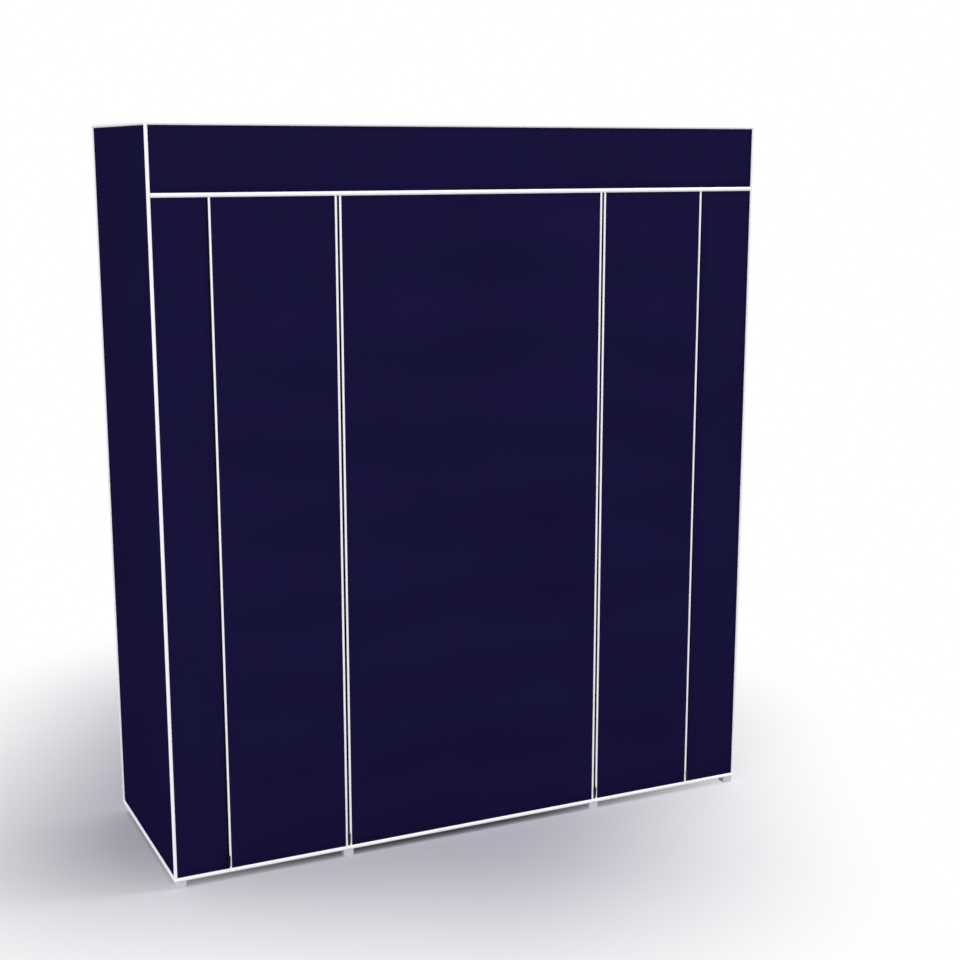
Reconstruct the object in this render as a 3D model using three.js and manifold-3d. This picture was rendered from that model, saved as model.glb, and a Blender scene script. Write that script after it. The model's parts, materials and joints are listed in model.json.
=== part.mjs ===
// Portable fabric wardrobe: a push-fit steel tube frame with cloth shelves under a zipped cloth cover
// Millimetres: X runs along the width, the front faces -Y, Z is up, and the feet stand on z = 0
import * as THREE from 'three';
import { mergeVertices } from 'three/addons/utils/BufferGeometryUtils.js';
import Module from 'manifold-3d';

// Cover: overall sizes over its edge piping
const coverWidth = 1500;
const coverDepth = 510;
const coverHeight = 1675;
const fabricThickness = 1.2;
const edgePipingDiameter = 9.6;
const headerBandHeight = 136;
const headerPipingHeight = 11;
const headerPipingProud = 4;

// Front: zips measured from the corner piping, and the piping beside each zip
const leftStripWidth = 119;
const rightStripWidth = 137;
const centreDoorWidth = 660;
const singlePipingWidth = 7;
const pairedPipingWidth = 6;
const doorPipingProud = 2.3;
const zipChainWidth = 3.2;
const zipChainProud = 0.6;

// Zip slider: front and back plates on a post, a bail over the front, and the pull that hangs from it
const sliderHeight = 9;
const sliderLowerWidth = 6.4;
const sliderUpperWidth = 5;
const sliderFrontPlate = 1.2;
const sliderBackPlate = 0.9;
const postWidth = 0.9;
const postHeight = 2.6;
const postRise = 0.6;
const bailWire = 1;
const bailWidth = 1.4;
const pullLength = 22;
const pullWidth = 5;
const pullTipWidth = 3.6;
const pullThickness = 1;
const pullSideBar = 1.2;
const pullSwingGap = 0.6;
const pullHemGap = 5;

// Frame: steel tube, moulded connectors and feet
const tubeDiameter = 16;
const tubeWall = 0.6;
const connectorWall = 2.6;
const connectorHeight = 52;
const connectorChamfer = 1;
const socketReach = 36;
const socketDepth = 20;
const footWidth = 25;
const footCorner = 3;
const footReach = 16;
const footDrainDiameter = 8;
const bottomTubeHeight = 46;
const capThickness = 3;
const tierCount = 4;

// Shelf cloth and the hanging rail
const shelfFabric = 1.4;
const shelfEndGap = 4;
const railTeeLength = 26;

// Clearances: between sewn neighbours, round a tube in its socket, and the overrun of joins and cuts
const seamGap = 0.3;
const socketClearance = 0.3;
const overrun = 1;
const weld = 0.2;
const mergeDistance = 0.0001;

// Facets: sides of a whole circle, and segments of a half-round bead
const roundSides = 8;
const beadSegments = 6;
const cornerRows = 4;

// Planes of the cover's cloth, at the middle of its thickness
const pipingRadius = edgePipingDiameter / 2;
const halfCloth = fabricThickness / 2;
const coverBottom = footReach;
const coverTop = footReach + coverHeight;
const sidePlane = coverWidth / 2 - pipingRadius;
const depthPlane = coverDepth / 2 - pipingRadius;
const frontPlane = -depthPlane;
const topPlane = coverTop - pipingRadius;
const hemLine = coverBottom + pipingRadius;
const pipingEdge = pipingRadius + seamGap;
const clothBottom = hemLine + pipingEdge;
const headerTop = topPlane - pipingRadius - headerBandHeight;
const headerBottom = headerTop - headerPipingHeight;
const clothTop = headerBottom - seamGap;

// Zips: where each one runs, and which side of it carries a door
const cornerEdge = sidePlane - pipingRadius;
const zipHalf = zipChainWidth / 2;
const zips = [
  { name: 'left', x: leftStripWidth - cornerEdge, piping: singlePipingWidth, doorSide: 1 },
  { name: 'centre_left', x: -centreDoorWidth / 2, piping: pairedPipingWidth, doorSide: 0 },
  { name: 'centre_right', x: centreDoorWidth / 2, piping: pairedPipingWidth, doorSide: 0 },
  { name: 'right', x: cornerEdge - rightStripWidth, piping: singlePipingWidth, doorSide: -1 },
];

// Stack of a slider, from the front of the door piping outwards and from the back of the cloth inwards
const plateBack = -(halfCloth + doorPipingProud + seamGap);
const plateFront = plateBack - sliderFrontPlate;
const backPlateFront = halfCloth + seamGap;
const backPlateBack = backPlateFront + sliderBackPlate;
const bailInner = pullThickness / 2 + pullSwingGap;
const bailOuter = bailInner + bailWire;
const pullAxisDepth = plateFront - bailInner;
const sliderHalf = sliderHeight / 2;
const sliderRest = coverBottom + edgePipingDiameter + pullHemGap + pullLength;
const hemCutBack = sliderLowerWidth / 2 + seamGap;

// Columns of the frame, as close behind the cloth as the sliders' back plates allow
const tubeRadius = tubeDiameter / 2;
const connectorRadius = tubeRadius + connectorWall;
const boreRadius = tubeRadius + socketClearance;
const columnInset = pipingRadius + backPlateBack + seamGap + connectorRadius;
const outerColumn = coverWidth / 2 - columnInset;
const innerColumn = centreDoorWidth / 2;
const columnRow = coverDepth / 2 - columnInset;
const frameTop = topPlane - halfCloth - seamGap;
const topTubeHeight = frameTop - connectorRadius;
const tierPitch = (topTubeHeight - bottomTubeHeight) / tierCount;
const middleTier = Math.round(tierCount / 2);
const tiers = Array.from({ length: tierCount + 1 }, (_, i) => bottomTubeHeight + i * tierPitch);
const tubeStop = socketReach - socketDepth + seamGap;

// Colours, roughness and metalness of the real materials
const navyCloth = { color: 0x181439, roughness: 0.85, metalness: 0 };
const whitePiping = { color: 0xf2f2f5, roughness: 0.7, metalness: 0 };
const shelfCloth = { color: 0x1d1944, roughness: 0.9, metalness: 0 };
const steelTube = { color: 0xb9bdc2, roughness: 0.35, metalness: 0.7 };
const blackZip = { color: 0x0c0c10, roughness: 0.4, metalness: 0.3 };

const wasm = await Module();
wasm.setup();
const wardrobe = new THREE.Group();

// A closed three.js geometry as a solid that can be joined and cut
function solidOf(geometry) {
  const bare = geometry.clone();
  bare.deleteAttribute('normal');
  bare.deleteAttribute('uv');
  const merged = mergeVertices(bare, mergeDistance);
  const corners = merged.index.array;
  const kept = [];
  for (let i = 0; i < corners.length; i += 3) {
    const [a, b, c] = corners.slice(i, i + 3);
    if (a !== b && b !== c && c !== a) kept.push(a, b, c);
  }
  return new wasm.Manifold(new wasm.Mesh({
    numProp: 3,
    vertProperties: merged.attributes.position.array,
    triVerts: new Uint32Array(kept),
  }));
}

// A joined or cut solid back as a geometry
function geometryOf(solid) {
  const mesh = solid.getMesh();
  const geometry = new THREE.BufferGeometry();
  geometry.setAttribute('position', new THREE.BufferAttribute(mesh.vertProperties, 3));
  geometry.setIndex(new THREE.BufferAttribute(mesh.triVerts, 1));
  geometry.computeVertexNormals();
  return geometry;
}

const joined = (geometries) => geometries.map(solidOf).reduce((whole, piece) => whole.add(piece));
const cut = (solid, geometries) => geometries.map(solidOf).reduce((left, tool) => left.subtract(tool), solid);

// One named sub-part of the wardrobe
function piece(name, geometry, finish) {
  const mesh = new THREE.Mesh(geometry, new THREE.MeshStandardMaterial({ ...finish, flatShading: true }));
  mesh.name = name;
  wardrobe.add(mesh);
  return mesh;
}

// A box between two corners
function block([x0, y0, z0], [x1, y1, z1]) {
  const box = new THREE.BoxGeometry(x1 - x0, y1 - y0, z1 - z0);
  return box.translate((x0 + x1) / 2, (y0 + y1) / 2, (z0 + z1) / 2);
}

// Extrusions: a plan upwards, a (y, z) section along X, a (z, x) section along Y, an (x, z) face forwards
const across = new THREE.Matrix4().makeBasis(
  new THREE.Vector3(0, 1, 0), new THREE.Vector3(0, 0, 1), new THREE.Vector3(1, 0, 0));
const inwards = new THREE.Matrix4().makeBasis(
  new THREE.Vector3(0, 0, 1), new THREE.Vector3(1, 0, 0), new THREE.Vector3(0, 1, 0));
const forwards = new THREE.Matrix4().makeBasis(
  new THREE.Vector3(1, 0, 0), new THREE.Vector3(0, 0, 1), new THREE.Vector3(0, -1, 0));

function extruded(shape, length, segments = roundSides / 2) {
  return new THREE.ExtrudeGeometry(shape, { depth: length, bevelEnabled: false, curveSegments: segments });
}
const upFrom = (shape, z0, z1, segments) => extruded(shape, z1 - z0, segments).translate(0, 0, z0);
const alongX = (shape, x0, x1, segments) =>
  extruded(shape, x1 - x0, segments).applyMatrix4(across).translate(x0, 0, 0);
const alongY = (shape, y0, y1) => extruded(shape, y1 - y0).applyMatrix4(inwards).translate(0, y0, 0);
const alongFront = (shape, back, front) =>
  extruded(shape, back - front).applyMatrix4(forwards).translate(0, back, 0);

// A round section, solid or with a bore
function disc(radius) {
  return new THREE.Shape().absarc(0, 0, radius, 0, 2 * Math.PI, false);
}
function ring(outer, inner) {
  const shape = disc(outer);
  shape.holes.push(new THREE.Path().absarc(0, 0, inner, 0, 2 * Math.PI, true));
  return shape;
}
const tubeSection = () => ring(tubeRadius, tubeRadius - tubeWall);

// Piping: a round bead along each edge, flush with the cloth's inner faces to leave the frame its room
const coverInside = () => block(
  [halfCloth - sidePlane, halfCloth + frontPlane, -overrun],
  [sidePlane - halfCloth, depthPlane - halfCloth, topPlane - halfCloth]);

function edgePiping() {
  const beads = [];
  for (const y of [frontPlane, depthPlane]) {
    for (const z of [hemLine, topPlane]) {
      beads.push(alongX(disc(pipingRadius), -sidePlane, sidePlane).translate(0, y, z));
    }
    for (const x of [-sidePlane, sidePlane]) {
      beads.push(upFrom(disc(pipingRadius), hemLine, topPlane).translate(x, y, 0));
      for (const z of [hemLine, topPlane]) {
        beads.push(new THREE.SphereGeometry(pipingRadius, roundSides, cornerRows).translate(x, y, z));
      }
    }
  }
  for (const x of [-sidePlane, sidePlane]) {
    for (const z of [hemLine, topPlane]) {
      beads.push(alongY(disc(pipingRadius), frontPlane, depthPlane).translate(x, 0, z));
    }
  }
  const doorway = block(
    [zips[0].x - zipHalf, frontPlane - pipingRadius - overrun, coverBottom - overrun],
    [zips[3].x + zipHalf, frontPlane + pipingRadius + overrun, clothBottom]);
  return cut(joined(beads), [coverInside(), doorway]);
}

function headerPiping() {
  const end = cornerEdge - seamGap;
  const middle = (headerTop + headerBottom) / 2;
  const bead = new THREE.Shape();
  bead.moveTo(halfCloth, headerBottom);
  bead.lineTo(halfCloth, headerTop);
  bead.absellipse(
    -halfCloth, middle, headerPipingProud, headerPipingHeight / 2, Math.PI / 2, 1.5 * Math.PI, false);
  return alongX(bead, -end, end, beadSegments / 2).translate(0, frontPlane, 0);
}

// Cover panels, each reaching to its piping
function coverPanels() {
  const half = sidePlane - pipingEdge;
  const deep = depthPlane - pipingEdge;
  const high = topPlane - pipingEdge;
  piece('top_panel', block(
    [-half, -deep, topPlane - halfCloth], [half, deep, topPlane + halfCloth]), navyCloth);
  piece('back_panel', block(
    [-half, depthPlane - halfCloth, clothBottom], [half, depthPlane + halfCloth, high]), navyCloth);
  for (const [name, x] of [['left_side_panel', -sidePlane], ['right_side_panel', sidePlane]]) {
    piece(name, block([x - halfCloth, -deep, clothBottom], [x + halfCloth, deep, high]), navyCloth);
  }
  piece('header_band', block(
    [-half, frontPlane - halfCloth, headerTop + seamGap], [half, frontPlane + halfCloth, high]), navyCloth);
}

// Plan of a front strip: cloth from the corner piping to its half of the zip chain
function stripPlan(zip) {
  const side = -zip.doorSide;
  const at = (x, y) => new THREE.Vector2(x * side, y);
  const chainEnd = zip.x * side + seamGap / 2;
  return new THREE.Shape([
    at(chainEnd, halfCloth),
    at(cornerEdge - seamGap, halfCloth),
    at(cornerEdge - seamGap, -halfCloth),
    at(chainEnd + zipHalf, -halfCloth),
    at(chainEnd + zipHalf, -halfCloth - zipChainProud),
    at(chainEnd, -halfCloth - zipChainProud),
  ]);
}

// Plan of a door: half a zip chain, a piping bead, the cloth, a bead and the next half chain
function doorPlan(left, right) {
  const chainFront = -halfCloth - zipChainProud;
  const plan = new THREE.Shape();
  const bead = (x, width) =>
    plan.absellipse(x, -halfCloth, width / 2, doorPipingProud, Math.PI, 2 * Math.PI, false);
  plan.moveTo(left.x + seamGap / 2, halfCloth);
  plan.lineTo(left.x + seamGap / 2, chainFront);
  plan.lineTo(left.x + zipHalf, chainFront);
  bead(left.x + zipHalf + left.piping / 2, left.piping);
  bead(right.x - zipHalf - right.piping / 2, right.piping);
  plan.lineTo(right.x - zipHalf, chainFront);
  plan.lineTo(right.x - seamGap / 2, chainFront);
  plan.lineTo(right.x - seamGap / 2, halfCloth);
  return plan;
}

// The slider's post parts the two half chains; on a zip with one door it runs on the door's side
const postShift = (zip) => zip.doorSide * (postWidth + seamGap) / 2;
const postFoot = sliderRest - sliderHalf + postRise;

function postWindow(zip) {
  const half = postWidth / 2 + seamGap;
  const x = zip.x + postShift(zip);
  return block(
    [x - half, -coverDepth, postFoot - seamGap],
    [x + half, frontPlane + halfCloth + seamGap, postFoot + postHeight + seamGap]);
}

function doors() {
  for (const [name, left, right] of [
    ['left_door', zips[0], zips[1]], ['centre_door', zips[1], zips[2]], ['right_door', zips[2], zips[3]]]) {
    const cloth = upFrom(doorPlan(left, right), clothBottom, clothTop, beadSegments / 2);
    const curtain = cut(solidOf(cloth.translate(0, frontPlane, 0)), [postWindow(left), postWindow(right)]);
    piece(`${name}_curtain`, geometryOf(curtain), navyCloth);
    const bead = alongX(disc(pipingRadius), left.x + hemCutBack, right.x - hemCutBack);
    const hem = cut(solidOf(bead.translate(0, frontPlane, hemLine)), [coverInside()]);
    piece(`${name}_hem`, geometryOf(hem), whitePiping);
  }
}

function strips() {
  for (const [name, zip] of [['left_front_strip', zips[0]], ['right_front_strip', zips[3]]]) {
    piece(name, upFrom(stripPlan(zip), clothBottom, clothTop).translate(0, frontPlane, 0), navyCloth);
  }
}

// Zip slider: two pear-shaped plates, the post that joins them, and the bail that the pull hangs from
function sliderBody(zip) {
  const plate = new THREE.Shape([
    new THREE.Vector2(-sliderLowerWidth / 2, -sliderHalf + postRise),
    new THREE.Vector2(-postWidth, -sliderHalf),
    new THREE.Vector2(postWidth, -sliderHalf),
    new THREE.Vector2(sliderLowerWidth / 2, -sliderHalf + postRise),
    new THREE.Vector2(sliderLowerWidth / 2, 0),
    new THREE.Vector2(sliderUpperWidth / 2, sliderHalf),
    new THREE.Vector2(-sliderUpperWidth / 2, sliderHalf),
    new THREE.Vector2(-sliderLowerWidth / 2, 0),
  ]);
  const shift = postShift(zip);
  const foot = postFoot - sliderRest;
  const post = block(
    [shift - postWidth / 2, plateBack - weld, foot],
    [shift + postWidth / 2, backPlateFront + weld, foot + postHeight]);
  const bail = new THREE.Shape();
  bail.moveTo(plateFront + weld, bailOuter);
  bail.absarc(pullAxisDepth, 0, bailOuter, Math.PI / 2, 1.5 * Math.PI, false);
  bail.lineTo(plateFront + weld, -bailOuter);
  bail.lineTo(plateFront + weld, -bailInner);
  bail.absarc(pullAxisDepth, 0, bailInner, 1.5 * Math.PI, Math.PI / 2, true);
  bail.lineTo(plateFront + weld, bailInner);
  return geometryOf(joined([
    alongFront(plate, plateBack, plateFront),
    alongFront(plate, backPlateBack, backPlateFront),
    post,
    alongX(bail, -bailWidth / 2, bailWidth / 2, beadSegments / 2),
  ]));
}

// Pull: a tapered tab whose window lets the bail through, and whose top bar turns under it
function pullTab() {
  const half = pullWidth / 2;
  const bar = pullThickness / 2;
  const tip = pullTipWidth / 2;
  const windowHalf = half - pullSideBar;
  const windowFoot = -(bailOuter + pullSwingGap);
  const tab = new THREE.Shape([
    new THREE.Vector2(-half, bar),
    new THREE.Vector2(-half, windowFoot - half),
    new THREE.Vector2(-tip, -pullLength + tip),
    new THREE.Vector2(-tip / 2, -pullLength),
    new THREE.Vector2(tip / 2, -pullLength),
    new THREE.Vector2(tip, -pullLength + tip),
    new THREE.Vector2(half, windowFoot - half),
    new THREE.Vector2(half, bar),
  ]);
  tab.holes.push(new THREE.Path([
    new THREE.Vector2(-windowHalf, -bar),
    new THREE.Vector2(windowHalf, -bar),
    new THREE.Vector2(windowHalf, windowFoot),
    new THREE.Vector2(-windowHalf, windowFoot),
  ]));
  return alongFront(tab, bar, -bar);
}

function sliders() {
  for (const zip of zips) {
    const body = piece(`${zip.name}_zip_slider`, sliderBody(zip), blackZip);
    body.position.set(zip.x, frontPlane, sliderRest);
    const pull = piece(`${zip.name}_zip_pull`, pullTab(), blackZip);
    pull.position.set(zip.x, frontPlane + pullAxisDepth, sliderRest);
  }
}

// Columns: which way the width sockets of each one point on an inner tier and on the top and bottom tiers
const columns = [
  { name: 'left_outer', x: -outerColumn, inner: [1], ends: [1] },
  { name: 'left_inner', x: -innerColumn, inner: [-1], ends: [-1, 1] },
  { name: 'right_inner', x: innerColumn, inner: [1], ends: [-1, 1] },
  { name: 'right_outer', x: outerColumn, inner: [-1], ends: [-1] },
];
const isEnd = (tier) => tier === 0 || tier === tierCount;
const isBraced = (tier) => isEnd(tier) || tier === middleTier;

// Upright: the tube stack turned as one, with a chamfered sleeve at each tier, then sockets, foot and bores
function uprightProfile() {
  const outline = [new THREE.Vector2(0, footReach / 2), new THREE.Vector2(connectorRadius, footReach / 2)];
  tiers.forEach((height, tier) => {
    const low = height - connectorHeight / 2;
    const high = Math.min(height + connectorHeight / 2, frameTop);
    if (tier > 0) {
      outline.push(new THREE.Vector2(tubeRadius, low));
      outline.push(new THREE.Vector2(connectorRadius - connectorChamfer, low));
      outline.push(new THREE.Vector2(connectorRadius, low + connectorChamfer));
    }
    outline.push(new THREE.Vector2(connectorRadius, high - connectorChamfer));
    outline.push(new THREE.Vector2(connectorRadius - connectorChamfer, high));
    outline.push(new THREE.Vector2(tier < tierCount ? tubeRadius : 0, high));
  });
  return outline;
}

// A socket's outside or its bore, pointing along +X or -X, or along the depth towards the other row
function socket({ along, sign, height }, radius, from, to) {
  const [start, end] = sign > 0 ? [from, to] : [-to, -from];
  const barrel = along === 'x' ? alongX(disc(radius), start, end) : alongY(disc(radius), start, end);
  return barrel.translate(0, 0, height);
}

function footBlock() {
  const half = footWidth / 2;
  const inner = half - footCorner;
  const plan = new THREE.Shape([
    new THREE.Vector2(-inner, -half), new THREE.Vector2(inner, -half),
    new THREE.Vector2(half, -inner), new THREE.Vector2(half, inner),
    new THREE.Vector2(inner, half), new THREE.Vector2(-inner, half),
    new THREE.Vector2(-half, inner), new THREE.Vector2(-half, -inner),
  ]);
  return upFrom(plan, 0, footReach - seamGap);
}

function uprights() {
  const stack = new THREE.LatheGeometry(uprightProfile(), roundSides).rotateX(Math.PI / 2);
  const drain = upFrom(disc(footDrainDiameter / 2), -overrun, footReach + overrun);
  const bore = upFrom(disc(tubeRadius - tubeWall), footReach, frameTop - capThickness);
  for (const column of columns) {
    for (const [row, inward] of [['front', 1], ['back', -1]]) {
      const sockets = tiers.flatMap((height, tier) => [
        ...(isEnd(tier) ? column.ends : column.inner).map((sign) => ({ along: 'x', sign, height })),
        ...(isBraced(tier) ? [{ along: 'y', sign: inward, height }] : []),
      ]);
      const barrels = sockets.map((place) => socket(place, connectorRadius, 0, socketReach));
      const bores = sockets.map((place) =>
        socket(place, boreRadius, socketReach - socketDepth, socketReach + overrun));
      const upright = cut(joined([stack, footBlock(), ...barrels]), [drain, bore, ...bores]);
      piece(`${column.name}_upright_${row}`, geometryOf(upright), steelTube)
        .position.set(column.x, -inward * columnRow, 0);
    }
  }
}

// Depth tubes brace each pair of uprights at the bottom, in the middle and at the top
function depthTubes() {
  for (const column of columns) {
    for (const [label, tier] of [['bottom', 0], ['middle', middleTier], ['top', tierCount]]) {
      const tube = alongY(tubeSection(), tubeStop - columnRow, columnRow - tubeStop);
      piece(`${column.name}_depth_tube_${label}`, tube, steelTube).position.set(column.x, 0, tiers[tier]);
    }
  }
}

// Bays between neighbouring columns
const bays = [
  { name: 'left', from: -outerColumn, to: -innerColumn },
  { name: 'centre', from: -innerColumn, to: innerColumn },
  { name: 'right', from: innerColumn, to: outerColumn },
];

function topWidthTubes() {
  for (const bay of bays) {
    for (const [row, y] of [['front', -columnRow], ['back', columnRow]]) {
      const tube = alongX(tubeSection(), bay.from + tubeStop, bay.to - tubeStop);
      piece(`${bay.name}_top_tube_${row}`, tube, steelTube).position.set(0, y, topTubeHeight);
    }
  }
}

// Shelf: a cloth sheet with a sewn sleeve round the width tube at each long edge
function shelf(bay) {
  const end = socketReach + shelfEndGap;
  const sleeve = tubeRadius + shelfFabric;
  const parts = [-columnRow, columnRow].flatMap((y) => [
    alongX(tubeSection(), bay.from + tubeStop, bay.to - tubeStop).translate(0, y, 0),
    alongX(ring(sleeve, tubeRadius - weld), bay.from + end, bay.to - end).translate(0, y, 0),
  ]);
  const sheet = block(
    [bay.from + end, -columnRow, tubeRadius], [bay.to - end, columnRow, sleeve]);
  return geometryOf(joined([...parts, sheet]));
}

function shelves() {
  for (const bay of bays) {
    const held = bay.name === 'centre' ? [0] : tiers.slice(0, tierCount).map((_, tier) => tier);
    for (const tier of held) {
      const label = bay.name === 'centre' ? 'centre_floor_shelf' : `${bay.name}_shelf_${tier + 1}`;
      piece(label, shelf(bay), shelfCloth).position.set(0, 0, tiers[tier]);
    }
  }
}

// Hanging rail: a tube between two tees that the top depth tubes of the centre bay pass through
function hangingRail() {
  const shoulder = boreRadius + overrun;
  const tees = [-innerColumn, innerColumn].flatMap((x) => {
    const sign = Math.sign(x);
    const neck = [x - sign * socketReach, x - sign * shoulder].sort((a, b) => a - b);
    return [
      alongY(disc(connectorRadius), -railTeeLength / 2, railTeeLength / 2).translate(x, 0, 0),
      alongX(disc(connectorRadius), ...neck),
    ];
  });
  const rail = alongX(disc(tubeRadius), -innerColumn, innerColumn);
  const eyes = [-innerColumn, innerColumn].map((x) =>
    alongY(disc(boreRadius), -railTeeLength, railTeeLength).translate(x, 0, 0));
  const bore = alongX(disc(tubeRadius - tubeWall), -innerColumn, innerColumn);
  return geometryOf(cut(joined([...tees, rail]), [...eyes, bore]));
}

uprights();
depthTubes();
topWidthTubes();
shelves();
piece('hanging_rail', hangingRail(), steelTube).position.set(0, 0, topTubeHeight);
coverPanels();
strips();
piece('edge_piping', geometryOf(edgePiping()), whitePiping);
piece('header_piping', headerPiping(), whitePiping);
doors();
sliders();

export default wardrobe;
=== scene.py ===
"""Portable fabric wardrobe: the looks of the push-fit tube frame and of the zipped cloth cover over it.

Metres, +Z up, the doors face -Y. The sections follow the wardrobe as it is put together.
"""
import json
import math

import bmesh
import bpy
from mathutils import Matrix, Vector, noise


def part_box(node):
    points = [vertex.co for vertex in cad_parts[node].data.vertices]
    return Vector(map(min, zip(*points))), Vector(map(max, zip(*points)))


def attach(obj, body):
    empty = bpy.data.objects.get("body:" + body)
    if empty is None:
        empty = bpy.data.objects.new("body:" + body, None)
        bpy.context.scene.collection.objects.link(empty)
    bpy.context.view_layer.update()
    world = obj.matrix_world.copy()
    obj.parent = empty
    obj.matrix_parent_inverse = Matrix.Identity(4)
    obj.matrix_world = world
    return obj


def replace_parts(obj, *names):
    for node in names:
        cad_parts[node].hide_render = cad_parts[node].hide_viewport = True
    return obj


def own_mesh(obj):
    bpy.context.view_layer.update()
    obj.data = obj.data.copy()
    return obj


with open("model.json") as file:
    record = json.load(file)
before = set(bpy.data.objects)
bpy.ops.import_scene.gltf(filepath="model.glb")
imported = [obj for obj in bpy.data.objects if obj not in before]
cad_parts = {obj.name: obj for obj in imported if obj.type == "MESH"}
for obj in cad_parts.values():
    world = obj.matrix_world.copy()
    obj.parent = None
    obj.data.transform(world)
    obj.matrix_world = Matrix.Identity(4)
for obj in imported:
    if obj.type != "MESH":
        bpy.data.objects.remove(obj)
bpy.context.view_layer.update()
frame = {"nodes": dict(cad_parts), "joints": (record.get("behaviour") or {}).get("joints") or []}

# Camera: it stands in front of the left end, a little below the level of the top, and looks along the front
# and a little down. Its place, heading, tilt and focal length are fitted to the cover's lines.
photo_width_px = 960
focal_length_px = 1608.1
sensor_width_mm = 36
eye = Vector((-1.5585, -3.5893, 1.6249))
heading_degrees = 25.179
tilt_degrees = 11.488
camera = bpy.data.objects.new("camera", bpy.data.cameras.new("camera"))
camera.data.sensor_width = sensor_width_mm
camera.data.lens = focal_length_px * sensor_width_mm / photo_width_px
camera.location = eye
camera.rotation_euler = (math.radians(90 - tilt_degrees), 0, math.radians(-heading_degrees))
bpy.context.scene.collection.objects.link(camera)
bpy.context.scene.camera = camera


# Uprights: eight columns of thin steel tube, drawn, cut to one tier's height and powder-coated pale grey.
# Four lengths stand on each other in every column, pushed into the mouldings at their ends.
def middle(node):
    low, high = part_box(node)
    return (low + high) / 2


class Reading:
    """A socket whose value or colour changes over a surface, with the arithmetic that shader nodes do"""

    def __init__(self, nodes, socket):
        self.nodes, self.socket = nodes, socket

    def maths(self, operation, *others):
        return self.nodes.node("ShaderNodeMath", {"operation": operation}, dict(enumerate((self, *others))))

    def __add__(self, other):
        return self.maths("ADD", other)

    def __sub__(self, other):
        return self.maths("SUBTRACT", other)

    def __rsub__(self, other):
        return self.nodes.node("ShaderNodeMath", {"operation": "SUBTRACT"}, {0: other, 1: self})

    def __mul__(self, other):
        return self.maths("MULTIPLY", other)

    def __truediv__(self, other):
        return self.maths("DIVIDE", other)

    def __pow__(self, other):
        return self.maths("POWER", other)

    __radd__, __rmul__ = __add__, __mul__


class Nodes:
    """The shader nodes of a finish, or of the studio's light"""

    def __init__(self, tree):
        self.tree = tree

    def node(self, kind, settings=None, values=None, output=0):
        """Adds a node: its settings first, then the values or links of its sockets"""
        added = self.tree.nodes.new(kind)
        for name, value in (settings or {}).items():
            setattr(added, name, value)
        for key, value in (values or {}).items():
            if isinstance(value, Reading):
                self.tree.links.new(value.socket, added.inputs[key])
            else:
                added.inputs[key].default_value = value
        return Reading(self, added.outputs[output])


class Finish(Nodes):
    """One procedural material: a shader with its plain settings, and the nodes that vary over the surface"""

    def __init__(self, name, **shader):
        self.material = bpy.data.materials.new(name)
        self.material.use_nodes = True
        super().__init__(self.material.node_tree)
        self.shader = self.tree.nodes["Principled BSDF"]
        for setting, value in shader.items():
            self.shader.inputs[setting.replace("_", " ").title().replace("Ior", "IOR")].default_value = value
        self.place = self.node("ShaderNodeTexCoord", output="Object")

    def feed(self, **readings):
        for setting, reading in readings.items():
            self.tree.links.new(reading.socket, self.shader.inputs[setting.replace("_", " ").title()])

    def grain(self, scale, detail=2.0, stretch=(1, 1, 1), where=None):
        """Fine noise, from 0 to 1, in scale grains a metre. A stretch below 1 draws it out on that axis"""
        place = self.node("ShaderNodeMapping", {"vector_type": "POINT"}, {
            "Vector": where or self.place, "Scale": stretch})
        return self.node("ShaderNodeTexNoise", {}, {"Vector": place, "Scale": scale, "Detail": detail})

    def blend(self, share, first, second):
        """A colour between two, by a share from 0 to 1"""
        return self.node("ShaderNodeMix", {"data_type": "RGBA"}, {0: share, 6: first, 7: second}, output=2)

    def relief(self, height, depth):
        """The normals of a surface that rises by depth metres where height is 1"""
        return self.node("ShaderNodeBump", {}, {
            "Strength": 1.0, "Distance": depth, "Height": height}, output="Normal")


def paint(red, green, blue):
    """A screen colour from 0 to 255 as the shader's linear one"""
    linear = [((c / 255 + 0.055) / 1.055) ** 2.4 if c > 10.3 else c / 255 / 12.92 for c in (red, green, blue)]
    return (*linear, 1.0)


def powder_coat():
    coat = Finish("powder_coated_steel", metallic=0.0, roughness=0.42)
    orange_peel = coat.grain(1400, 1.0)
    dust = coat.grain(18, 4.0)
    coat.feed(
        base_color=coat.blend(dust, paint(178, 181, 186), paint(196, 199, 203)),
        roughness=0.34 + orange_peel * 0.16,
        normal=coat.relief(orange_peel, 0.00004))
    return coat


same_point = 0.000001
sliver = 0.000003


def turned(mesh, centre, axis, profile, sides=32):
    """Spins a profile of (distance along the axis, radius) steps round an axis through centre"""
    along = Vector(axis)
    out = along.orthogonal().normalized()
    points = [mesh.verts.new(centre + along * reach + out * radius) for reach, radius in profile]
    edges = [mesh.edges.new(pair) for pair in zip(points, points[1:])]
    bmesh.ops.spin(
        mesh, geom=points + edges, cent=centre, axis=along, angle=math.tau, steps=sides, use_merge=True)
    bmesh.ops.remove_doubles(mesh, verts=mesh.verts, dist=same_point)


def made(name, mesh, finish, body="frame_and_cover", crease_degrees=35):
    """A finished mesh as a piece of the wardrobe"""
    bmesh.ops.remove_doubles(mesh, verts=mesh.verts, dist=sliver)
    bmesh.ops.recalc_face_normals(mesh, faces=mesh.faces)
    data = bpy.data.meshes.new(name)
    mesh.to_mesh(data)
    mesh.free()
    data.shade_smooth()
    data.set_sharp_from_angle(angle=math.radians(crease_degrees))
    data.materials.append(finish.material)
    piece = bpy.data.objects.new(name, data)
    bpy.context.scene.collection.objects.link(piece)
    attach(piece, body)
    return piece


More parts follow.
